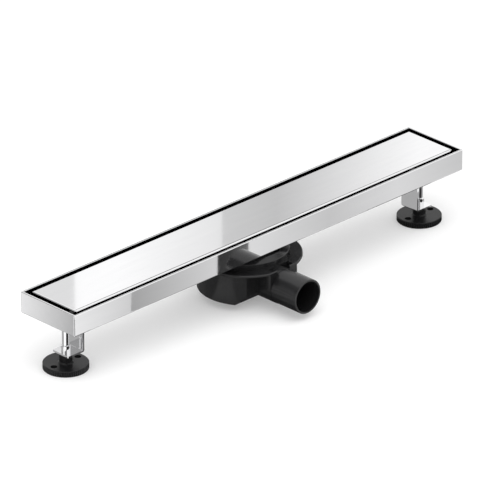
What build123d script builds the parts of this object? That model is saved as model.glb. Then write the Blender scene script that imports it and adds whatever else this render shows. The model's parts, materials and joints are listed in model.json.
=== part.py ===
from build123d import *
import os

# A linear shower drain: a folded steel trough with a loose cover plate, two levelling feet and a drum trap.
# The origin is the middle of the cover's top face, +X runs along the trough, +Z is up and the outlet points to -Y.
# All sizes are millimetres.

# Channel
channel_length = 600.0
channel_width = 85.0
channel_height = 25.5
sheet = 1.2
hem_depth = 8.0
hem_flat = 0.2
inside_bend = 0.2

# Dish and collar pressed into the channel's floor
collar_outer_radius = 30.0
collar_depth = 12.0
dish_depth = 3.0
dish_margin = 2.0

# Cover and its supports
cover_gap = 6.6
cover_thickness = 2.0
cover_edge_round = 1.5
support_width = 20.0
support_margin = 7.5
support_sheet = 1.5
support_bend = 2.5
support_inset = 45.0
support_inner_x = 100.0
pad_width = 6.0
pad_height = 2.5

# Levelling feet, one at each end, turned half round from each other
foot_inset = 31.0
foot_y = -5.0
floor_depth = 64.0
foot_radius = 25.5
foot_rim_height = 7.0
foot_edge = 0.6
foot_recess_depth = 1.5
knurl_count = 64
knurl_depth = 0.7
knurl_margin = 1.0
neck_height = 11.0
neck_wall = 3.4
neck_chamfer = 1.5
neck_clearance = 0.2
screw_hole_radius = 3.8
screw_edge = 3.9
stud_radius = 4.0
stud_top_depth = 4.0
stud_socket_depth = 14.0
stud_chamfer = 0.8
thread_clearance = 0.06

# Foot brackets
bracket_reach = 16.0
tab_margin = 8.0
bracket_width = 25.0
bracket_sheet = 2.0
bracket_bend = 2.5
tab_corner = 1.5
tab_hole_clearance = 0.5
bush_wall = 1.5
bush_height = 7.5
bush_chamfer = 0.5

# Trap head, which the collar and the clamp sleeve hold
head_radius = 48.5
head_top_depth = 7.3
head_wall = 2.5
head_edge = 0.4
shoulder_rise = 3.9
shoulder_gap = 4.8
neck_thread_length = 10.0

# Trap body
lip_overhang = 8.8
lip_top_depth = 14.0
lip_thickness = 2.2
lip_land = 0.6
lip_edge = 1.0
drum_radius = 54.2
drum_depth = 54.2
drum_front = 39.3
drum_slope_rise = 10.2
drum_slope_run = 9.8
trap_wall = 2.5
pipe_radius = 20.0
pipe_wall = 2.2
pipe_end = 97.0
pipe_edge = 0.5
crown_overlap = 0.2
boss_setback = 3.5
boss_shoulder = 0.5
weir_rise = 5.0
window_length = 31.4
window_width = 8.0
window_depth = 9.0
window_wall = 1.5
notch_length = 19.0

# Clamp sleeve, dip tube, strainer and seals
sleeve_flange_width = 4.0
sleeve_flange_height = 2.4
sleeve_clearance = 0.35
sleeve_wall = 2.5
insert_wall = 2.5
insert_flange_width = 2.4
insert_flange_height = 1.5
insert_floor_gap = 5.7
insert_seal_height = 1.8
insert_seal_drop = 6.0
insert_groove = 1.3
inlet_seal_width = 3.2
inlet_seal_floor = 2.0
head_seal_width = 2.4
head_seal_height = 2.0
strainer_thickness = 1.0
strainer_margin = 1.2
strainer_hole_radius = 3.0
strainer_pitch = 8.5
strainer_rings = 2
fit_gap = 0.15

# Channel and cover, as they follow from the sizes above
underside = -channel_height
channel_floor = underside + sheet
dish_floor = channel_floor - dish_depth
dish_under = underside - dish_depth
collar_end = underside - collar_depth
rim_width = 2 * sheet
hem_radius = sheet - hem_flat / 2
corner_radius = sheet + inside_bend
cover_length = channel_length - 2 * (rim_width + cover_gap)
cover_width = channel_width - 2 * (rim_width + cover_gap)
support_span = cover_width - 2 * support_margin
support_outer_x = channel_length / 2 - support_inset
pad_top = channel_floor + pad_height

# Feet and brackets, as they follow
foot_x = channel_length / 2 - foot_inset
floor_level = underside - floor_depth
foot_top = floor_level + foot_rim_height
tab_bottom = foot_top + neck_height
tab_top = tab_bottom + bracket_sheet
stud_top = underside - stud_top_depth
stud_end = tab_bottom - stud_socket_depth
neck_radius = stud_radius + neck_wall
screw_spacing = 2 * (foot_radius - screw_hole_radius - screw_edge)
foot_recess_radius = screw_spacing / 2 - screw_hole_radius - screw_edge
bush_radius = stud_radius + bush_wall
bracket_x = foot_x - bracket_reach
tab_end_x = foot_x + tab_margin

# Outlet and trap, as they follow
sleeve_outer = collar_outer_radius - sheet - sleeve_clearance
sleeve_bore = sleeve_outer - sleeve_wall
sleeve_flange_radius = collar_outer_radius + sleeve_flange_width
sleeve_top = dish_floor + sleeve_flange_height
dish_radius = sleeve_flange_radius + dish_margin
thread_radius = sleeve_outer + fit_gap
socket_radius = collar_outer_radius + inlet_seal_width
socket_floor = collar_end - inlet_seal_floor
neck_end = socket_floor - neck_thread_length
head_top = underside - head_top_depth
shoulder_top = head_top + shoulder_rise
shoulder_radius = dish_radius + sheet + shoulder_gap
lip_top = underside - lip_top_depth
lip_bottom = lip_top - lip_thickness
lip_radius = drum_radius + lip_overhang
seal_shelf = lip_top + head_seal_height
seal_outer = head_radius - head_wall
seal_inner = seal_outer - head_seal_width
throat_radius = seal_inner - lip_land
drum_bottom = underside - drum_depth
pipe_bore = pipe_radius - pipe_wall
pipe_axis_z = lip_bottom + crown_overlap - pipe_radius
boss_radius = pipe_radius + boss_shoulder
boss_front = lip_radius - boss_setback
weir_level = pipe_axis_z + weir_rise
window_front = boss_front - window_wall
insert_outer = sleeve_bore - fit_gap
insert_bore = insert_outer - insert_wall
insert_end = drum_bottom + trap_wall + insert_floor_gap
insert_flange_radius = insert_outer + insert_flange_width
insert_seat = sleeve_top - insert_flange_height
insert_seal_top = insert_seat - insert_seal_drop
insert_seal_end = insert_seal_top - insert_seal_height
strainer_radius = insert_flange_radius - strainer_margin

os.makedirs("parts", exist_ok=True)


def save(piece, name):
    """Label a finished piece and write it to its own file."""
    piece.label = name
    export_step(piece, f"parts/{name}.step")


def turned(outline):
    """A body of revolution about Z from an outline of (radius, height) points."""
    with BuildPart() as body:
        with BuildSketch(Plane.XZ):
            with BuildLine():
                Polyline(*outline, close=True)
            make_face()
        revolve(axis=Axis.Z)
    return body.part


def ring(inner, outer, low, high):
    """A plain ring about Z."""
    return turned([(inner, low), (outer, low), (outer, high), (inner, high)])


def save_left(right_piece, name):
    """Write the left-hand twin of a right-hand piece: the same piece turned half round."""
    with BuildPart() as left:
        add(right_piece, rotation=(0, 0, 180))
    save(left.part, name)


# Channel: a folded trough with a hemmed rim, a round dish and a drawn collar
with BuildPart() as channel:
    with BuildSketch(Plane.XY.offset(underside)):
        RectangleRounded(channel_length, channel_width, corner_radius)
    extrude(amount=channel_height)
    fillet(channel.faces().sort_by(Axis.Z)[0].edges(), radius=sheet)
    with BuildSketch(Plane.XY.offset(channel_floor)):
        Rectangle(channel_length - 2 * sheet, channel_width - 2 * sheet)
    extrude(amount=channel_height - sheet - hem_depth, mode=Mode.SUBTRACT)
    with BuildSketch(Plane.XY.offset(-hem_depth)):
        Rectangle(channel_length - 2 * rim_width, channel_width - 2 * rim_width)
    extrude(amount=hem_depth, mode=Mode.SUBTRACT)
    with BuildSketch(Plane.XY.offset(underside)):
        Circle(dish_radius + sheet)
    extrude(amount=-dish_depth)
    with BuildSketch(Plane.XY.offset(collar_end)):
        Circle(collar_outer_radius)
    extrude(amount=collar_depth - dish_depth)
    with BuildSketch(Plane.XY.offset(channel_floor)):
        Circle(dish_radius)
    extrude(amount=-dish_depth, mode=Mode.SUBTRACT)
    with BuildSketch(Plane.XY.offset(collar_end)):
        Circle(collar_outer_radius - sheet)
    extrude(amount=collar_depth + sheet, mode=Mode.SUBTRACT)
    rim_edges = channel.faces().sort_by(Axis.Z)[-1].edges()
    fillet(rim_edges, radius=hem_radius)
save(channel.part, "channel")

# Cover plate: flat, with rounded edges
with BuildPart() as cover_plate:
    with BuildSketch(Plane.XY.offset(-cover_thickness)):
        Rectangle(cover_length, cover_width)
    extrude(amount=cover_thickness)
    fillet(cover_plate.faces().sort_by(Axis.Z)[-1].edges(), radius=cover_edge_round)
save(cover_plate.part, "cover_plate")

# Cover supports: bent strips under the plate, each on two rubber pads
support_places = {
    "left_outer_support": -support_outer_x,
    "left_inner_support": -support_inner_x,
    "right_inner_support": support_inner_x,
    "right_outer_support": support_outer_x,
}
for support_name, support_x in support_places.items():
    with BuildPart() as support:
        with BuildSketch(Plane.YZ.offset(support_x - support_width / 2)):
            with BuildLine():
                half = support_span / 2
                FilletPolyline(
                    (-half, pad_top),
                    (-half, -cover_thickness),
                    (half, -cover_thickness),
                    (half, pad_top),
                    radius=support_bend,
                )
                offset(amount=-support_sheet, side=Side.RIGHT)
            make_face()
        extrude(amount=support_width)
    save(support.part, support_name)

with BuildPart() as cover_pads:
    with BuildSketch(Plane.XY.offset(channel_floor)):
        for support_x in support_places.values():
            for side in (-1, 1):
                with Locations((support_x, side * (support_span - support_sheet) / 2)):
                    Rectangle(support_width, pad_width)
    extrude(amount=pad_height)
save(cover_pads.part, "cover_pads")

# Foot bracket: a plate welded under the channel and bent outwards into a tab with a hole for the stud
with BuildPart() as bracket:
    with BuildSketch(Plane.XZ.offset(-foot_y - bracket_width / 2)):
        with BuildLine():
            FilletPolyline(
                (bracket_x, underside),
                (bracket_x, tab_bottom),
                (tab_end_x, tab_bottom),
                radius=bracket_bend,
            )
            offset(amount=bracket_sheet, side=Side.LEFT)
        make_face()
    extrude(amount=bracket_width)
    tab_corners = bracket.edges().filter_by(Axis.Z).group_by(Axis.X)[-1]
    fillet(tab_corners, radius=tab_corner)
    with BuildSketch(Plane.XY.offset(tab_bottom)):
        with Locations((foot_x, foot_y)):
            Circle(stud_radius + tab_hole_clearance)
    extrude(amount=bracket_sheet, mode=Mode.SUBTRACT)
save(bracket.part, "right_bracket")
save_left(bracket.part, "left_bracket")

# Threaded bush on the tab
with BuildPart() as bush:
    with BuildSketch(Plane.XY.offset(tab_top)):
        with Locations((foot_x, foot_y)):
            Circle(bush_radius)
            Circle(stud_radius + thread_clearance, mode=Mode.SUBTRACT)
    extrude(amount=bush_height)
    bush_rim = bush.edges().filter_by(GeomType.CIRCLE).group_by(Axis.Z)[-1].sort_by(SortBy.RADIUS)[-1]
    chamfer(bush_rim, length=bush_chamfer)
save(bush.part, "right_bush")
save_left(bush.part, "left_bush")

# Stud: a threaded rod fixed in the foot's neck
with BuildPart() as stud:
    with BuildSketch(Plane.XY.offset(stud_end)):
        with Locations((foot_x, foot_y)):
            Circle(stud_radius)
    extrude(amount=stud_top - stud_end)
    chamfer(stud.edges().filter_by(GeomType.CIRCLE).group_by(Axis.Z)[-1], length=stud_chamfer)
save(stud.part, "right_stud")
save_left(stud.part, "left_stud")

# Foot: a moulded disc with a knurled rim, two screw holes and a neck that holds the stud
with BuildPart() as foot:
    with BuildSketch(Plane.XY.offset(floor_level)):
        with Locations((foot_x, foot_y)):
            Circle(foot_radius)
    extrude(amount=foot_rim_height)
    with BuildSketch(Plane.XY.offset(foot_top)):
        with Locations((foot_x, foot_y)):
            Circle(neck_radius)
    extrude(amount=tab_bottom - neck_clearance - foot_top)
    neck_root = foot.edges().filter_by(GeomType.CIRCLE).group_by(Axis.Z)[-2].sort_by(SortBy.RADIUS)[0]
    chamfer(neck_root, length=neck_chamfer)
    rims = foot.edges().filter_by(GeomType.CIRCLE).filter_by(lambda edge: edge.radius > foot_radius - foot_edge)
    chamfer(rims, length=foot_edge)
    with BuildSketch(Plane.XY.offset(floor_level + knurl_margin)):
        with Locations((foot_x, foot_y)):
            with PolarLocations(foot_radius, knurl_count):
                Rectangle(2 * knurl_depth, 2 * knurl_depth, rotation=45)
    extrude(amount=foot_rim_height - 2 * knurl_margin, mode=Mode.SUBTRACT)
    with BuildSketch(Plane.XY.offset(floor_level)):
        with Locations((foot_x, foot_y)):
            with GridLocations(screw_spacing, 1, 2, 1):
                Circle(screw_hole_radius)
    extrude(amount=foot_rim_height, mode=Mode.SUBTRACT)
    with BuildSketch(Plane.XY.offset(floor_level)):
        with Locations((foot_x, foot_y)):
            Circle(foot_recess_radius)
    extrude(amount=foot_recess_depth, mode=Mode.SUBTRACT)
    with BuildSketch(Plane.XY.offset(stud_end)):
        with Locations((foot_x, foot_y)):
            Circle(stud_radius + thread_clearance)
    extrude(amount=tab_bottom - stud_end, mode=Mode.SUBTRACT)
save(foot.part, "right_foot")
save_left(foot.part, "left_foot")

# Trap head: a turned cap with a sloping shoulder, a socket for the collar and a neck for the clamp sleeve
with BuildPart() as trap_head:
    add(
        turned(
            [
                (socket_radius, head_top),
                (shoulder_radius, head_top),
                (shoulder_radius, shoulder_top),
                (head_radius, head_top),
                (head_radius, lip_top),
                (seal_outer, lip_top),
                (seal_outer, seal_shelf),
                (seal_inner, seal_shelf),
                (seal_inner, head_top - head_wall),
                (socket_radius + head_wall, head_top - head_wall),
                (socket_radius + head_wall, socket_floor - head_wall),
                (thread_radius + head_wall, socket_floor - head_wall),
                (thread_radius + head_wall, neck_end),
                (thread_radius, neck_end),
                (thread_radius, socket_floor),
                (socket_radius, socket_floor),
            ]
        )
    )
    head_rim = trap_head.edges().filter_by(GeomType.CIRCLE).group_by(Axis.Z)[-2].sort_by(SortBy.RADIUS)[-1]
    chamfer(head_rim, length=head_edge)
save(trap_head.part, "trap_head")

# Seal ring between the head and the body
head_seal = ring(seal_inner, seal_outer - fit_gap, lip_top, seal_shelf)
save(head_seal, "head_seal")

# Inlet seal: a flanged rubber ring round the collar, between the dish and the head
inlet_seal = turned(
    [
        (collar_outer_radius + fit_gap, dish_under),
        (dish_radius, dish_under),
        (dish_radius, head_top),
        (socket_radius - fit_gap, head_top),
        (socket_radius - fit_gap, socket_floor),
        (thread_radius + fit_gap, socket_floor),
        (thread_radius + fit_gap, collar_end),
        (collar_outer_radius + fit_gap, collar_end),
    ]
)
save(inlet_seal, "inlet_seal")


def drum_form(inset, top):
    """The drum: round, with a flat front that slopes in at the bottom, drawn in all round by inset."""
    floor = drum_bottom + inset
    front = -drum_front + inset
    with BuildPart() as form:
        with BuildSketch(Plane.XY.offset(floor)):
            Circle(drum_radius - inset)
        extrude(amount=top - floor)
        with BuildSketch(Plane.YZ):
            with BuildLine():
                Polyline(
                    (front, top),
                    (drum_radius, top),
                    (drum_radius, floor),
                    (front + drum_slope_run, floor),
                    (front, floor + drum_slope_rise),
                    close=True,
                )
            make_face()
        extrude(amount=drum_radius, both=True, mode=Mode.INTERSECT)
    return form.part


# Trap body: drum, lip, outlet boss and spigot in one moulding, with the boss cored out above the spigot's crown
with BuildPart() as trap_body:
    with BuildSketch(Plane.XY.offset(lip_bottom)):
        Circle(lip_radius)
        with Locations((0, -boss_front)):
            Rectangle(2 * lip_radius, lip_radius, align=(Align.CENTER, Align.MAX), mode=Mode.SUBTRACT)
    extrude(amount=lip_thickness)
    chamfer(trap_body.faces().sort_by(Axis.Z)[-1].edges(), length=lip_edge)
    add(drum_form(0, lip_bottom))
    boss_root = drum_front - drum_slope_run
    with BuildSketch(Plane.XZ.offset(boss_root)):
        with Locations((0, pipe_axis_z)):
            Circle(boss_radius)
            Rectangle(2 * boss_radius, lip_bottom - pipe_axis_z, align=(Align.CENTER, Align.MIN))
    extrude(amount=boss_front - boss_root)
    with BuildSketch(Plane.XY.offset(lip_top)):
        with Locations((0, -window_front)):
            Rectangle(window_length, window_width, align=(Align.CENTER, Align.MIN))
        with Locations((0, -boss_front)):
            Rectangle(notch_length, window_width, align=(Align.CENTER, Align.MIN))
    extrude(amount=-window_depth, mode=Mode.SUBTRACT)
    with BuildSketch(Plane.XZ.offset(drum_front)):
        with Locations((0, pipe_axis_z)):
            Circle(boss_radius)
    extrude(amount=boss_front - drum_front)
    with BuildSketch(Plane.XZ.offset(boss_front)):
        with Locations((0, pipe_axis_z)):
            Circle(pipe_radius)
    extrude(amount=pipe_end - boss_front)
    spigot_rim = trap_body.faces().sort_by(Axis.Y)[0].edges()
    chamfer(spigot_rim, length=pipe_edge)
    add(drum_form(trap_wall, lip_bottom), mode=Mode.SUBTRACT)
    with BuildSketch(Plane.XY.offset(lip_bottom)):
        Circle(throat_radius)
        with Locations((0, -drum_front + trap_wall)):
            Rectangle(2 * lip_radius, lip_radius, align=(Align.CENTER, Align.MAX), mode=Mode.SUBTRACT)
    extrude(amount=lip_thickness, mode=Mode.SUBTRACT)
    with BuildSketch(Plane.XZ.offset(drum_front)):
        with Locations((0, pipe_axis_z)):
            Circle(pipe_bore)
    extrude(amount=pipe_end - drum_front, mode=Mode.SUBTRACT)
    with BuildSketch(Plane.XZ.offset(drum_front - trap_wall)):
        with Locations((0, pipe_axis_z)):
            Circle(pipe_bore)
        with Locations((0, weir_level)):
            Rectangle(2 * pipe_radius, 2 * pipe_radius, align=(Align.CENTER, Align.MAX), mode=Mode.SUBTRACT)
    extrude(amount=trap_wall, mode=Mode.SUBTRACT)
save(trap_body.part, "trap_body")

# Clamp sleeve: screwed into the head from above, it clamps the dish on the inlet seal
clamp_sleeve = turned(
    [
        (sleeve_bore, neck_end),
        (sleeve_outer, neck_end),
        (sleeve_outer, dish_floor),
        (sleeve_flange_radius, dish_floor),
        (sleeve_flange_radius, sleeve_top),
        (insert_flange_radius + fit_gap, sleeve_top),
        (insert_flange_radius + fit_gap, insert_seat),
        (sleeve_bore, insert_seat),
    ]
)
save(clamp_sleeve, "clamp_sleeve")

# Trap insert: the dip tube that hangs in the sleeve and lifts out for cleaning
trap_insert = turned(
    [
        (insert_bore, insert_end),
        (insert_outer, insert_end),
        (insert_outer, insert_seal_end),
        (insert_outer - insert_groove, insert_seal_end),
        (insert_outer - insert_groove, insert_seal_top),
        (insert_outer, insert_seal_top),
        (insert_outer, insert_seat),
        (insert_flange_radius, insert_seat),
        (insert_flange_radius, sleeve_top),
        (insert_bore, sleeve_top),
    ]
)
save(trap_insert, "trap_insert")

# Seal ring in the dip tube's groove
insert_seal = ring(insert_outer - insert_groove, insert_outer, insert_seal_end, insert_seal_top)
save(insert_seal, "insert_seal")

# Strainer: a perforated disc that lies on the dip tube's flange
with BuildPart() as strainer:
    with BuildSketch(Plane.XY.offset(sleeve_top)):
        Circle(strainer_radius)
        Circle(strainer_hole_radius, mode=Mode.SUBTRACT)
        for hole_ring in range(1, strainer_rings + 1):
            with PolarLocations(hole_ring * strainer_pitch, 6 * hole_ring):
                Circle(strainer_hole_radius, mode=Mode.SUBTRACT)
    extrude(amount=strainer_thickness)
save(strainer.part, "strainer")
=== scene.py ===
"""Looks of a linear shower drain: materials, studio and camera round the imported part, in metres."""
import json
import math

import bpy
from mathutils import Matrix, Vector

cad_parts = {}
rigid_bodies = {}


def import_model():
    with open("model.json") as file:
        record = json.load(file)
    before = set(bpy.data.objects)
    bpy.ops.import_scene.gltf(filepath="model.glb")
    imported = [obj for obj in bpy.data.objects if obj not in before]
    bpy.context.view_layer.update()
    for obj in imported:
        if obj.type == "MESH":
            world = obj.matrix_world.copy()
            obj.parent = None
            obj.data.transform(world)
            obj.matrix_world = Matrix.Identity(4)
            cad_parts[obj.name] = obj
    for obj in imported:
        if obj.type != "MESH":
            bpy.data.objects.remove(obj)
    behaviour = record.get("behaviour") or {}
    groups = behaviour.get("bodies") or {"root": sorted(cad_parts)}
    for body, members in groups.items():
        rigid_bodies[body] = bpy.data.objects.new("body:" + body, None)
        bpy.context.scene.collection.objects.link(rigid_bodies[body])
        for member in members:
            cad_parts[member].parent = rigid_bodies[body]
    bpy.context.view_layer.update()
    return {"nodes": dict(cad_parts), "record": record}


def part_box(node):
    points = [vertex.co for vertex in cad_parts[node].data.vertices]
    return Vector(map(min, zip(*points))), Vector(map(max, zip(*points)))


# Camera of the photograph
AZIMUTH = math.radians(-44.57)
ELEVATION = math.radians(25.83)
DISTANCE = 8.943
TARGET = Vector((-0.0418, -0.0334, 0.0))
LENS_MM = 613.0
SENSOR_MM = 36.0
FAR_CLIP = 100.0

# Light: a white room, and a soft box overhead, on the camera's side, that makes up the rest
ROOM_LIGHT = 1.0
BOX_WATTS = 12.0
BOX_SIDE = 1.6
BOX_PLACE = Vector((-0.35, -0.50, 1.30))

# Floor: its side, its tone and its own glow
FLOOR_SIDE = 12.0
FLOOR_WHITE = 0.69
FLOOR_GLOW = 0.28

# Noise: its detail, and the range in which most of it lies
NOISE_DETAIL = 3.0
NOISE_LOW = 0.3
NOISE_HIGH = 0.7

# Steel: its two tones, and the smoothest and roughest that it gets
STEEL_GREY = (0.87, 0.87, 0.88)
STEEL_LIGHT = (0.93, 0.93, 0.935)
STEEL_FINISH = (0.035, 0.06)
# The scale of its polishing marks, and how they stretch along X
MARK_SCALE = 120.0
MARK_STRETCH = (0.12, 1.0, 1.0)

# The trough's inside: its painted shade, a dark tone that stands for the shade falling down in the
# trough, and how far down its walls that starts and is full
TROUGH_PAINTED_SHADE = (0.012, 0.012, 0.013)
SHADE_START = 0.0002
SHADE_FULL = 0.0014
# How near the channel's outside and its underside that painted shade stops
OUTSIDE_MARGIN = 0.0006
UNDERSIDE_MARGIN = 0.0005

# The cover's cut long sides: how far below the top they start to be dressed and are so fully
CUT_START = 0.0006
CUT_FULL = 0.0008
# How far their shading turns up, and how far from the cover's ends it stops
CUT_TURN = 0.6
CUT_END = 0.0020

# Plastic: its two tones, and the scale of the clouds that they make
PLASTIC_BLACK = (0.008, 0.008, 0.0085)
PLASTIC_WORN = (0.013, 0.013, 0.0135)
PLASTIC_CLOUD_SCALE = 35.0
# The smoothest and roughest that the trap and the feet get, and their gloss
TRAP_FINISH = (0.17, 0.23)
TRAP_GLOSS = 0.5
FOOT_FINISH = (0.28, 0.36)
FOOT_GLOSS = 0.26
# The tone of the spigot's sawn end, and how far from the end it fades out
PLASTIC_SAWN = (0.032, 0.032, 0.032)
SAWN_DEPTH = 0.0006

# Rubber: its two tones, the scale of their clouds, and the smoothest and roughest that it gets
RUBBER_BLACK = (0.012, 0.012, 0.012)
RUBBER_WORN = (0.02, 0.02, 0.02)
RUBBER_CLOUD_SCALE = 60.0
RUBBER_FINISH = (0.62, 0.75)

# Grain of the surface: the scale of its noise, its strength and its depth
PLASTIC_GRAIN = (900.0, 0.12, 0.0002)
RUBBER_GRAIN = (700.0, 0.2, 0.0002)

# Cards that only reflections show: first, those that stand behind the drain and show in its top
BACK_CARD_DISTANCE = 1.0
BACK_CARD_BOTTOM = 0.15
BACK_CARD_TOP = 0.70
# A stretch of cards is (start, end, level at its start, level at its end)
BACK_STRETCHES = (
    (-0.900, -0.204, 0.80, 0.80),
    (-0.204, -0.151, 1.08, 1.08),
    (-0.151, -0.022, 1.08, 0.86),
    (-0.022, 0.045, 0.66, 0.58),
    (0.045, 0.220, 0.58, 1.05),
    (0.220, 0.900, 1.05, 1.05),
)
# How far above the floor its cards lie, one over another where they cross
REAR_CARD_RISE = 0.0005
UNDER_CARD_RISE = 0.0005
FLOOR_CARD_RISE = 0.001
CONTACT_CARD_RISE = 0.0015
FAN_RISE = 0.002
# Cards before the channel's upright sides: their near and far reach, and their stretches along the side
FRONT_REACH = (0.11, 0.40)
FRONT_STRETCHES = (
    (-0.340, -0.219, 0.98, 0.68),
    (-0.219, -0.0858, 0.40, 0.70),
    (-0.0858, -0.065, 0.033, 0.05),
    (-0.065, -0.0375, 0.05, 0.16),
    (-0.0375, 0.090, 0.78, 0.61),
    (0.090, 0.200, 0.61, 0.76),
    (0.200, 0.340, 0.76, 0.58),
)
LEFT_END_STRETCHES = ((0.060, -0.060, 0.93, 0.37),)
REAR_REACH = (0.075, 0.40)
REAR_STRETCHES = (
    (-0.620, -0.120, 0.95, 0.62),
    (-0.120, 0.060, 0.48, 0.70),
    (0.060, 0.620, 0.80, 0.50),
)
RIGHT_END_STRETCHES = ((-0.120, 0.120, 0.75, 0.45),)
# Cards under the drain, for undersides and legs, painted shade of the floor below it that only
# reflections show: (left, right, front, back, left level, right level)
UNDER_SHADE_CARDS = (
    (-0.360, -0.150, 0.012, 0.115, 0.42, 0.42),
    (-0.250, -0.150, -0.080, 0.012, 0.10, 0.10),
    (-0.150, -0.095, -0.045, 0.015, 0.62, 0.62),
    (-0.095, -0.056, -0.045, 0.015, 0.62, 0.25),
    (-0.150, -0.056, 0.015, 0.115, 0.20, 0.20),
    (-0.056, 0.120, -0.045, 0.115, 0.14, 0.10),
    (-0.140, -0.035, -0.130, -0.045, 0.30, 0.22),
    (-0.035, 0.120, -0.130, -0.045, 0.22, 0.22),
    (0.120, 0.300, -0.080, 0.012, 0.10, 0.10),
    (0.300, 0.420, -0.080, 0.012, 0.42, 0.42),
    (0.120, 0.165, 0.012, 0.115, 0.10, 0.10),
    (0.165, 0.185, 0.012, 0.115, 0.10, 0.42),
    (0.185, 0.360, 0.012, 0.115, 0.42, 0.42),
)
# A darker card under the trap, a painted contact shadow that only reflections show: (left, right, front,
# back, left level, right level)
CONTACT_SHADOW_CARD = (-0.030, 0.040, -0.105, 0.050, 0.03, 0.03)
# A grey card that stands off the left end, across the way that a bracket mirrors
LEFT_CARD_LEVEL = 0.36
LEFT_CARD_DISTANCE = 1.0
LEFT_CARD_HALF_WIDTH = 0.60
LEFT_CARD_TOP = 1.6
# A dark card, far off and high up, that draws a line along the rounded edges of rim and cover
RIGHT_CARD_LEVEL = 0.03
RIGHT_CARD_DISTANCE = 4.0
RIGHT_CARD_SIDES = (-0.4, 3.6)
RIGHT_CARD_HEIGHTS = (3.1, 5.4)
# A dark card on the camera's side, like the room behind a camera
CAMERA_CARD_LEVEL = 0.22
CAMERA_CARD_DISTANCE = 3.0
CAMERA_CARD_HALF = 1.15
# Fans of dark card on the floor round a stud or a corner of the channel, painted dark reflections that
# only the steel shows: (near reach, far reach, level)
STUD_FAN = (0.035, 0.125, 0.03)
CORNER_FAN = (0.12, 0.26, 0.30)
# The two turns from the camera's side between which each fan lies, in degrees
STUD_TURNS = (16.0, 74.0)
NEAR_CORNER_TURNS = (-50.0, 50.0)
LEFT_CORNER_TURNS = (182.0, 242.0)


def toward_camera():
    """The way from the drain to the camera."""
    level = math.cos(ELEVATION)
    return Vector((math.sin(AZIMUTH) * level, -math.cos(AZIMUTH) * level, math.sin(ELEVATION)))


class Shader:
    """A material with one principled shader, and short ways to wire nodes into it."""

    def __init__(self, name):
        self.material = bpy.data.materials.new(name)
        self.material.use_nodes = True
        self.nodes = self.material.node_tree.nodes
        self.links = self.material.node_tree.links
        self.bsdf = self.nodes["Principled BSDF"]
        self.place = self.nodes.new("ShaderNodeTexCoord").outputs["Object"]

    def set(self, **sockets):
        """Set the shader's own sockets: a name's underscores stand for spaces."""
        for name, value in sockets.items():
            self.bsdf.inputs[name.replace("_", " ")].default_value = value

    def feed(self, socket, value):
        """Wire a value into the shader."""
        self.links.new(value, self.bsdf.inputs[socket])

    def fed(self, socket):
        """The value that is wired into one of the shader's sockets."""
        return self.bsdf.inputs[socket].links[0].from_socket

    def noise(self, scale, stretch=(1.0, 1.0, 1.0)):
        """Noise over the object's own place, stretched along its axes."""
        mapping = self.nodes.new("ShaderNodeMapping")
        mapping.inputs["Scale"].default_value = stretch
        self.links.new(self.place, mapping.inputs["Vector"])
        texture = self.nodes.new("ShaderNodeTexNoise")
        texture.inputs["Scale"].default_value = scale
        texture.inputs["Detail"].default_value = NOISE_DETAIL
        self.links.new(mapping.outputs["Vector"], texture.inputs["Vector"])
        return texture.outputs["Fac"]

    def spread(self, value, from_low, from_high, to_low, to_high):
        """The value mapped from one range to another and held inside it."""
        node = self.nodes.new("ShaderNodeMapRange")
        node.inputs["From Min"].default_value = from_low
        node.inputs["From Max"].default_value = from_high
        node.inputs["To Min"].default_value = to_low
        node.inputs["To Max"].default_value = to_high
        self.links.new(value, node.inputs["Value"])
        return node.outputs["Result"]

    def math(self, operation, first, second=0.0):
        """One operation on two values, each an output or a number."""
        node = self.nodes.new("ShaderNodeMath")
        node.operation = operation
        for socket, value in zip(node.inputs, (first, second)):
            if isinstance(value, (int, float)):
                socket.default_value = value
            else:
                self.links.new(value, socket)
        return node.outputs["Value"]

    def blend(self, factor, low, high):
        """A colour between two, each an output or a plain colour."""
        node = self.nodes.new("ShaderNodeMix")
        node.data_type = "RGBA"
        self.links.new(factor, node.inputs["Factor"])
        for socket, colour in (("A", low), ("B", high)):
            target = next(i for i in node.inputs if i.name == socket and i.type == "RGBA")
            if isinstance(colour, tuple):
                target.default_value = (*colour, 1.0)
            else:
                self.links.new(colour, target)
        return next(o for o in node.outputs if o.type == "RGBA")

    def axis(self, name):
        """One coordinate of the object's own place."""
        node = self.nodes.new("ShaderNodeSeparateXYZ")
        self.links.new(self.place, node.inputs["Vector"])
        return node.outputs[name]

    def near_middle(self, name, limit):
        """1 where a coordinate lies less than a limit from the middle, and 0 elsewhere."""
        return self.math("LESS_THAN", self.math("ABSOLUTE", self.axis(name)), limit)

    def tones(self, pattern, dark, light, finish):
        """Let a pattern vary the colour between two tones, and the roughness between two values."""
        smooth, rough = finish
        self.feed("Base Color", self.blend(pattern, dark, light))
        self.feed("Roughness", self.spread(pattern, NOISE_LOW, NOISE_HIGH, smooth, rough))

    def grain(self, scale, strength, depth):
        """Fine surface grain."""
        node = self.nodes.new("ShaderNodeBump")
        node.inputs["Strength"].default_value = strength
        node.inputs["Distance"].default_value = depth
        self.links.new(self.noise(scale), node.inputs["Height"])
        self.feed("Normal", node.outputs["Normal"])

    def turn_up(self, share):
        """Shade the surface as if it were turned up, by a share of the way up added to its own."""
        upward = self.nodes.new("ShaderNodeCombineXYZ")
        self.links.new(share, upward.inputs["Z"])
        total = self.nodes.new("ShaderNodeVectorMath")
        self.links.new(self.nodes.new("ShaderNodeNewGeometry").outputs["Normal"], total.inputs[0])
        self.links.new(upward.outputs["Vector"], total.inputs[1])
        unit = self.nodes.new("ShaderNodeVectorMath")
        unit.operation = "NORMALIZE"
        self.links.new(total.outputs["Vector"], unit.inputs[0])
        self.feed("Normal", unit.outputs["Vector"])


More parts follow.
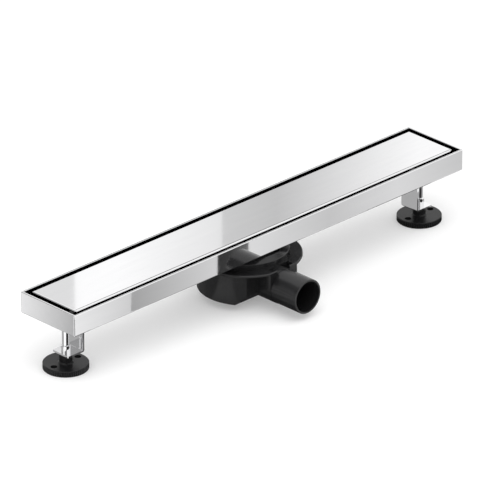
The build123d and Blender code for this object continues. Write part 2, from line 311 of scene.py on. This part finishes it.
def steel(name):
    """Polished stainless steel with faint polishing marks along X."""
    shader = Shader(name)
    shader.set(Metallic=1.0)
    shader.tones(shader.noise(MARK_SCALE, MARK_STRETCH), STEEL_GREY, STEEL_LIGHT, STEEL_FINISH)
    return shader


def trough_painted_shade_steel(name):
    """The channel's steel, with shade painted dark inside the trough, below the rim."""
    shader = steel(name)
    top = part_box("cover_plate")[1].z
    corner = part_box("channel")[1]
    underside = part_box("left_bracket")[1].z
    deep = shader.spread(shader.axis("Z"), top - SHADE_FULL, top - SHADE_START, 1.0, 0.0)
    within = shader.math(
        "MULTIPLY",
        shader.near_middle("Y", corner.y - OUTSIDE_MARGIN),
        shader.near_middle("X", corner.x - OUTSIDE_MARGIN),
    )
    above = shader.math("GREATER_THAN", shader.axis("Z"), underside + UNDERSIDE_MARGIN)
    inside = shader.math("MULTIPLY", deep, shader.math("MULTIPLY", within, above))
    # Painted shade: the trough's walls and floor are coloured near black below the rim, where shade falls
    # in it
    shader.feed("Base Color", shader.blend(inside, shader.fed("Base Color"), TROUGH_PAINTED_SHADE))
    return shader


def cover_steel(name):
    """The cover's steel, whose cut long sides are dressed and catch the light from above."""
    shader = steel(name)
    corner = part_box("cover_plate")[1]
    cut = shader.spread(shader.axis("Z"), corner.z - CUT_FULL, corner.z - CUT_START, CUT_TURN, 0.0)
    shader.turn_up(shader.math("MULTIPLY", cut, shader.near_middle("X", corner.x - CUT_END)))
    return shader


def plastic(name, finish, gloss):
    """Black moulded plastic with its own finish and level of gloss."""
    shader = Shader(name)
    shader.set(Specular_IOR_Level=gloss)
    shader.tones(shader.noise(PLASTIC_CLOUD_SCALE), PLASTIC_BLACK, PLASTIC_WORN, finish)
    shader.grain(*PLASTIC_GRAIN)
    return shader


def sawn_plastic(name, finish, gloss):
    """The trap body's plastic, paler on the sawn end of its spigot."""
    shader = plastic(name, finish, gloss)
    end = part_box("trap_body")[0].y
    sawn = shader.spread(shader.axis("Y"), end, end + SAWN_DEPTH, 1.0, 0.0)
    shader.feed("Base Color", shader.blend(sawn, shader.fed("Base Color"), PLASTIC_SAWN))
    return shader


def rubber(name):
    """Matt black rubber."""
    shader = Shader(name)
    shader.tones(shader.noise(RUBBER_CLOUD_SCALE), RUBBER_BLACK, RUBBER_WORN, RUBBER_FINISH)
    shader.grain(*RUBBER_GRAIN)
    return shader


def dress(frame):
    """Give each node of the part its material."""
    by_slot = {
        "polished_steel": steel("polished_steel"),
        "trap_plastic": plastic("trap_plastic", TRAP_FINISH, TRAP_GLOSS),
        "foot_plastic": plastic("foot_plastic", FOOT_FINISH, FOOT_GLOSS),
        "seal_rubber": rubber("seal_rubber"),
    }
    own = {
        "channel": trough_painted_shade_steel("trough_painted_shade_steel"),
        "cover_plate": cover_steel("cover_steel"),
        "trap_body": sawn_plastic("sawn_plastic", TRAP_FINISH, TRAP_GLOSS),
    }
    for entry in frame["record"]["subparts"]:
        node = frame["nodes"][entry["node"]]
        shader = own.get(entry["node"], by_slot[entry["material_slot"]])
        node.data.materials.clear()
        node.data.materials.append(shader.material)


def add_flat(name, corners, material):
    """A flat piece of the studio with four corners."""
    mesh = bpy.data.meshes.new(name)
    mesh.from_pydata([tuple(corner) for corner in corners], [], [(0, 1, 2, 3)])
    mesh.materials.append(material)
    flat = bpy.data.objects.new(name, mesh)
    bpy.context.scene.collection.objects.link(flat)
    return flat


def add_floor(level):
    """A plain white floor that keeps the drain's shadow."""
    shader = Shader("floor_white")
    shader.set(Base_Color=(FLOOR_WHITE, FLOOR_WHITE, FLOOR_WHITE, 1.0))
    shader.set(Roughness=1.0, Specular_IOR_Level=0.0)
    shader.set(Emission_Color=(1.0, 1.0, 1.0, 1.0), Emission_Strength=FLOOR_GLOW)
    half = FLOOR_SIDE / 2
    corners = [(-half, -half, level), (half, -half, level), (half, half, level), (-half, half, level)]
    floor = add_flat("floor", corners, shader.material)


def card_glow(name):
    """A material that glows by the level painted on its card."""
    material = bpy.data.materials.new(name)
    material.use_nodes = True
    nodes = material.node_tree.nodes
    links = material.node_tree.links
    nodes.remove(nodes["Principled BSDF"])
    attribute = nodes.new("ShaderNodeAttribute")
    attribute.attribute_name = "glow"
    emission = nodes.new("ShaderNodeEmission")
    links.new(attribute.outputs["Color"], emission.inputs["Color"])
    links.new(emission.outputs["Emission"], nodes["Material Output"].inputs["Surface"])
    return material


def add_card(name, corners, levels):
    """A glowing card with a level of light at each corner, which only reflections show."""
    card = add_flat(name, corners, card_glow(name))
    glow = card.data.color_attributes.new("glow", "FLOAT_COLOR", "POINT")
    for point, level in zip(glow.data, levels):
        point.color = (level, level, level, 1.0)
    card.visible_camera = False
    card.visible_diffuse = False
    card.visible_transmission = False
    card.visible_shadow = False


def add_back_cards():
    """Standing cards behind the drain, for its top."""
    ahead = Vector((-math.sin(AZIMUTH), math.cos(AZIMUTH), 0.0))
    across = Vector((math.cos(AZIMUTH), math.sin(AZIMUTH), 0.0))
    middle = TARGET + BACK_CARD_DISTANCE * ahead
    low = Vector((0.0, 0.0, BACK_CARD_BOTTOM))
    high = Vector((0.0, 0.0, BACK_CARD_TOP))
    for number, (start, end, start_level, end_level) in enumerate(BACK_STRETCHES):
        left = middle + start * across
        right = middle + end * across
        corners = [left + low, right + low, right + high, left + high]
        add_card(f"back_card_{number}", corners, [start_level, end_level, end_level, start_level])


def add_floor_cards(name, stretches, side, along, away, reach, level):
    """Cards that lie at one level before an upright side of the channel, which runs along one way."""
    near, far = (side + distance * away for distance in reach)
    for number, (start, end, start_level, end_level) in enumerate(stretches):
        corners = [near + start * along, near + end * along, far + end * along, far + start * along]
        for corner in corners:
            corner.z = level
        add_card(f"{name}_{number}", corners, [start_level, end_level, end_level, start_level])


def add_side_cards(floor_level):
    """Cards on the floor before the channel's front, back and ends."""
    low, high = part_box("channel")
    front = Vector((0.0, low.y, 0.0))
    rear = Vector((0.0, high.y, 0.0))
    left_end = Vector((low.x, 0.0, 0.0))
    right_end = Vector((high.x, 0.0, 0.0))
    along_x = Vector((1.0, 0.0, 0.0))
    along_y = Vector((0.0, 1.0, 0.0))
    mirrored = Vector((-math.sin(AZIMUTH), -math.cos(AZIMUTH), 0.0))
    level = floor_level + FLOOR_CARD_RISE
    rear_level = floor_level + REAR_CARD_RISE
    add_floor_cards("front_card", FRONT_STRETCHES, front, along_x, mirrored, FRONT_REACH, level)
    add_floor_cards("end_card", LEFT_END_STRETCHES, left_end, along_y, -mirrored, FRONT_REACH, level)
    add_floor_cards("rear_card", REAR_STRETCHES, rear, along_x, along_y, REAR_REACH, rear_level)
    add_floor_cards("right_end_card", RIGHT_END_STRETCHES, right_end, along_y, along_x, REAR_REACH, level)


def add_under_cards(floor_level):
    """Cards on the floor under the drain: painted shade of the floor, and a painted contact shadow under
    the trap, that only reflections show.
    """
    cards = [(card, UNDER_CARD_RISE) for card in UNDER_SHADE_CARDS]
    cards.append((CONTACT_SHADOW_CARD, CONTACT_CARD_RISE))
    for number, (card, rise) in enumerate(cards):
        left, right, front, back, left_level, right_level = card
        z = floor_level + rise
        corners = [(left, front, z), (right, front, z), (right, back, z), (left, back, z)]
        add_card(f"under_card_{number}", corners, [left_level, right_level, right_level, left_level])


def add_left_card(floor_level):
    """A grey card that stands on the floor off the left end, behind it."""
    ahead = Vector((math.sin(AZIMUTH), math.cos(AZIMUTH), 0.0))
    across = LEFT_CARD_HALF_WIDTH * Vector((ahead.y, -ahead.x, 0.0))
    middle = Vector((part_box("channel")[0].x, 0.0, 0.0)) + LEFT_CARD_DISTANCE * ahead
    low = Vector((0.0, 0.0, floor_level))
    high = Vector((0.0, 0.0, LEFT_CARD_TOP))
    left = middle - across
    right = middle + across
    corners = [left + low, right + low, right + high, left + high]
    add_card("left_card", corners, [LEFT_CARD_LEVEL] * 4)


def add_right_card():
    """A dark card far off on the right."""
    front, back = RIGHT_CARD_SIDES
    low, high = RIGHT_CARD_HEIGHTS
    outline = ((front, low), (back, low), (back, high), (front, high))
    corners = [(RIGHT_CARD_DISTANCE, y, z) for y, z in outline]
    add_card("right_card", corners, [RIGHT_CARD_LEVEL] * 4)


def add_camera_card():
    """A dark card across the camera's view, which the camera itself looks through."""
    back = toward_camera()
    across = CAMERA_CARD_HALF * Vector((math.cos(AZIMUTH), math.sin(AZIMUTH), 0.0))
    rise = CAMERA_CARD_HALF * back.cross(across).normalized()
    low = CAMERA_CARD_DISTANCE * back - rise
    high = CAMERA_CARD_DISTANCE * back + rise
    corners = [low - across, low + across, high + across, high - across]
    add_card("camera_card", corners, [CAMERA_CARD_LEVEL] * 4)


def add_fan(name, place, fan, turns, floor_level):
    """A card on the floor, fanned out from a place between two turns."""
    near, far, glow = fan
    start, end = turns
    middle = Vector((place.x, place.y, floor_level + FAN_RISE))
    corners = []
    for reach, turn in ((near, start), (near, end), (far, end), (far, start)):
        heading = AZIMUTH + math.radians(turn)
        corners.append(middle + reach * Vector((math.sin(heading), -math.cos(heading), 0.0)))
    add_card(name, corners, [glow] * 4)


def add_fans(floor_level):
    """Dark fans round both studs and the two corners of the channel's left end, painted dark reflections
    in the steel.
    """
    for stud in ("left_stud", "right_stud"):
        foot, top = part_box(stud)
        add_fan(f"{stud}_fan", (foot + top) / 2, STUD_FAN, STUD_TURNS, floor_level)
    low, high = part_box("channel")
    near_corner = Vector((low.x, low.y, 0.0))
    left_corner = Vector((low.x, high.y, 0.0))
    add_fan("near_corner_fan", near_corner, CORNER_FAN, NEAR_CORNER_TURNS, floor_level)
    add_fan("left_corner_fan", left_corner, CORNER_FAN, LEFT_CORNER_TURNS, floor_level)


def add_cards(floor_level):
    """All the cards that the polished steel shows."""
    add_back_cards()
    add_side_cards(floor_level)
    add_under_cards(floor_level)
    add_left_card(floor_level)
    add_right_card()
    add_camera_card()
    add_fans(floor_level)


def add_world():
    """A white room that lights the drain evenly and shows in its steel."""
    world = bpy.data.worlds.new("room")
    world.use_nodes = True
    background = world.node_tree.nodes["Background"]
    background.inputs["Color"].default_value = (1.0, 1.0, 1.0, 1.0)
    background.inputs["Strength"].default_value = ROOM_LIGHT
    bpy.context.scene.world = world


def add_soft_box():
    """One soft box overhead, turned to the drain."""
    light = bpy.data.lights.new("soft_box", "AREA")
    light.size = BOX_SIDE
    light.energy = BOX_WATTS
    lamp = bpy.data.objects.new("soft_box", light)
    lamp.location = BOX_PLACE
    lamp.rotation_euler = BOX_PLACE.to_track_quat("Z", "Y").to_euler()
    lamp.visible_camera = False
    lamp.visible_glossy = False
    bpy.context.scene.collection.objects.link(lamp)


def add_camera():
    """A long lens at the photograph's angle."""
    back = toward_camera()
    data = bpy.data.cameras.new("camera")
    data.lens = LENS_MM
    data.sensor_width = SENSOR_MM
    data.clip_end = FAR_CLIP
    camera = bpy.data.objects.new("camera", data)
    camera.location = TARGET + DISTANCE * back
    camera.rotation_euler = back.to_track_quat("Z", "Y").to_euler()
    bpy.context.scene.collection.objects.link(camera)
    bpy.context.scene.camera = camera


for leftover in list(bpy.data.objects):
    bpy.data.objects.remove(leftover)
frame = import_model()
bpy.context.scene.view_settings.view_transform = "Standard"
dress(frame)
floor_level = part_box("left_foot")[0].z
add_floor(floor_level)
add_cards(floor_level)
add_world()
add_soft_box()
add_camera()
